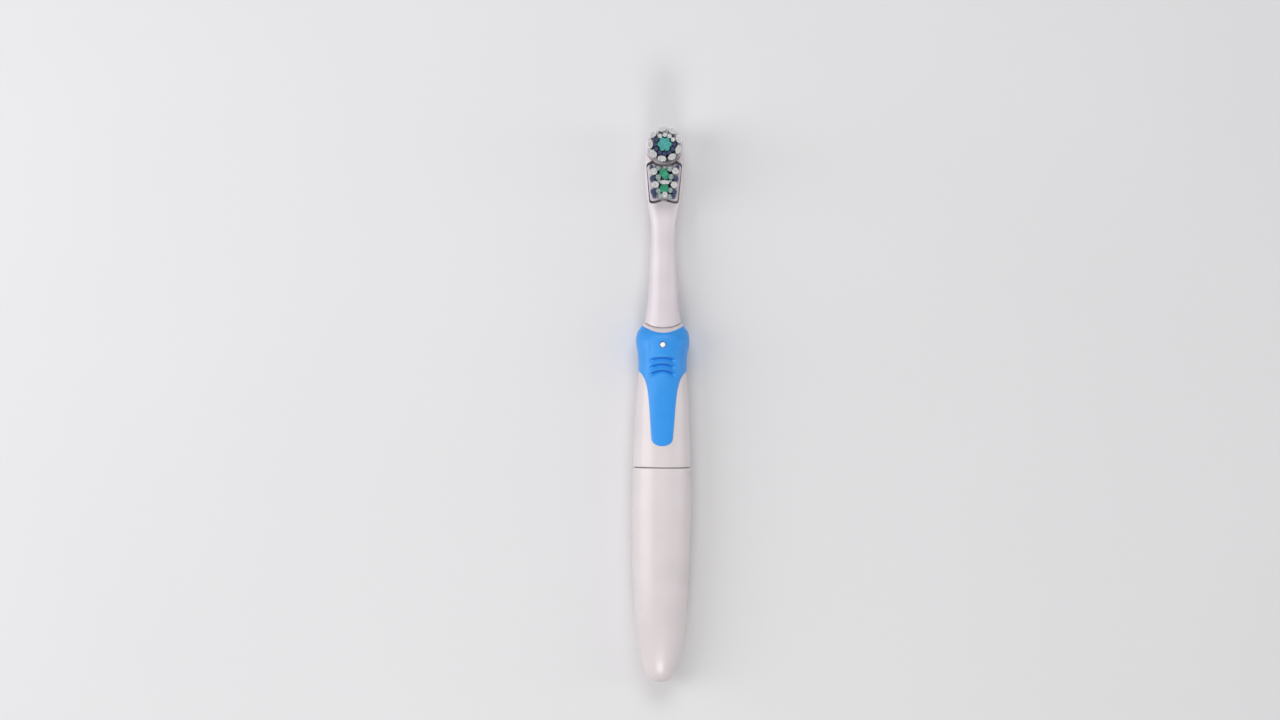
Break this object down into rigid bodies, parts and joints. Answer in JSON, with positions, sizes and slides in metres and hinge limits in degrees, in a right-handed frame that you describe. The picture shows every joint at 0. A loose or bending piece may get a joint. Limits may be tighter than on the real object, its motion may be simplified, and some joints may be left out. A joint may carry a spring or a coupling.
{
  "type": "battery toothbrush",
  "caption": "Slim white battery toothbrush with a blue rubber grip, a round turning bristle head, a sliding lower bristle pad and a pull-off battery cover.",
  "frame": {"origin": "centre of the object's box, on the surface that the brush lies on", "axes": "+Y along the brush to the bristle head, +Z to the bristle side, +X to the right seen from the bristle side"},
  "size_m": [0.0242, 0.2272, 0.0242],
  "materials": {
    "white_plastic": "glossy moulded plastic with a faint pearl",
    "blue_rubber": "satin moulded soft grip",
    "gray_plastic": "matte moulded",
    "black_rubber": "matte",
    "steel": "bright nickel plated",
    "brass": "stamped sheet",
    "cell_can": "plain dark wrap",
    "acetal": "natural moulded",
    "board": "paper laminate",
    "white_bristle": "nylon filament",
    "blue_bristle": "nylon filament",
    "green_bristle": "nylon filament"
  },
  "bodies": {
    "handle": {"upper_housing": "white_plastic", "grip_sleeve": "blue_rubber", "battery_cage": "gray_plastic", "battery_can": "cell_can", "battery_cap": "steel", "negative_spring": "steel", "negative_strip": "brass", "positive_contact": "brass", "cover_o_ring": "black_rubber", "motor_can": "steel", "motor_end_cap": "gray_plastic", "motor_terminal_left": "brass", "motor_terminal_right": "brass", "motor_frame": "gray_plastic", "crown_axle": "steel", "shaft_seal": "black_rubber", "shaft_bush": "acetal", "switch_board": "board", "switch_blade": "brass"},
    "cover": {"battery_cover": "white_plastic"},
    "neck": {"neck_housing": "white_plastic", "neck_bush": "acetal", "round_head_pin": "steel"},
    "push_rod": {"push_rod": "acetal", "lower_pad_plate": "white_plastic", "lower_side_bristles": "white_bristle", "lower_center_bristles": "green_bristle"},
    "round_head": {"round_head_disc": "white_plastic", "round_outer_bristles": "white_bristle", "round_ring_bristles": "blue_bristle", "round_center_bristles": "green_bristle"},
    "drive_shaft": {"drive_shaft": "steel"},
    "crown_gear": {"crown_gear": "acetal"},
    "rotor": {"motor_shaft": "steel", "pinion_gear": "acetal"},
    "button": {"power_button": "white_plastic"}
  },
  "joints": [
    {"name": "crown_gear_spin", "type": "hinge", "parent": "handle", "child": "crown_gear", "pos_m": [0, 0.01121, 0.0079], "axis": [0, 0, 1], "continuous": true},
    {"name": "rotor_spin", "type": "hinge", "parent": "handle", "child": "rotor", "pos_m": [0, 0.00251, 0.0109], "axis": [0, 1, 0], "continuous": true},
    {"name": "drive_shaft_slide", "type": "slide", "parent": "handle", "child": "drive_shaft", "axis": [0, 1, 0], "range_m": [-0.0008, 0.0008]},
    {"name": "push_rod_slide", "type": "slide", "parent": "neck", "child": "push_rod", "axis": [0, 1, 0], "range_m": [-0.0008, 0.0008]},
    {"name": "round_head_turn", "type": "hinge", "parent": "neck", "child": "round_head", "pos_m": [0, 0.10581, 0.0115], "axis": [0, 0, 1], "range_deg": [-19.2, 19.2]},
    {"name": "power_button_press", "type": "slide", "parent": "handle", "child": "button", "axis": [0, 0, -1], "range_m": [0, 0.0006], "stiffness_N_per_m": 1500},
    {"name": "head_pull", "type": "slide", "parent": "handle", "child": "neck", "axis": [0, 1, 0], "range_m": [0, 0.025]},
    {"name": "cover_pull", "type": "slide", "parent": "handle", "child": "cover", "axis": [0, -1, 0], "range_m": [0, 0.07]}
  ],
  "couplings": [
    {"joint": "rotor_spin", "follows": "crown_gear_spin", "ratio": -3},
    {"joint": "push_rod_slide", "follows": "drive_shaft_slide", "ratio": 1},
    {"joint": "round_head_turn", "follows": "drive_shaft_slide", "rad_per_m": 416.67}
  ]
}
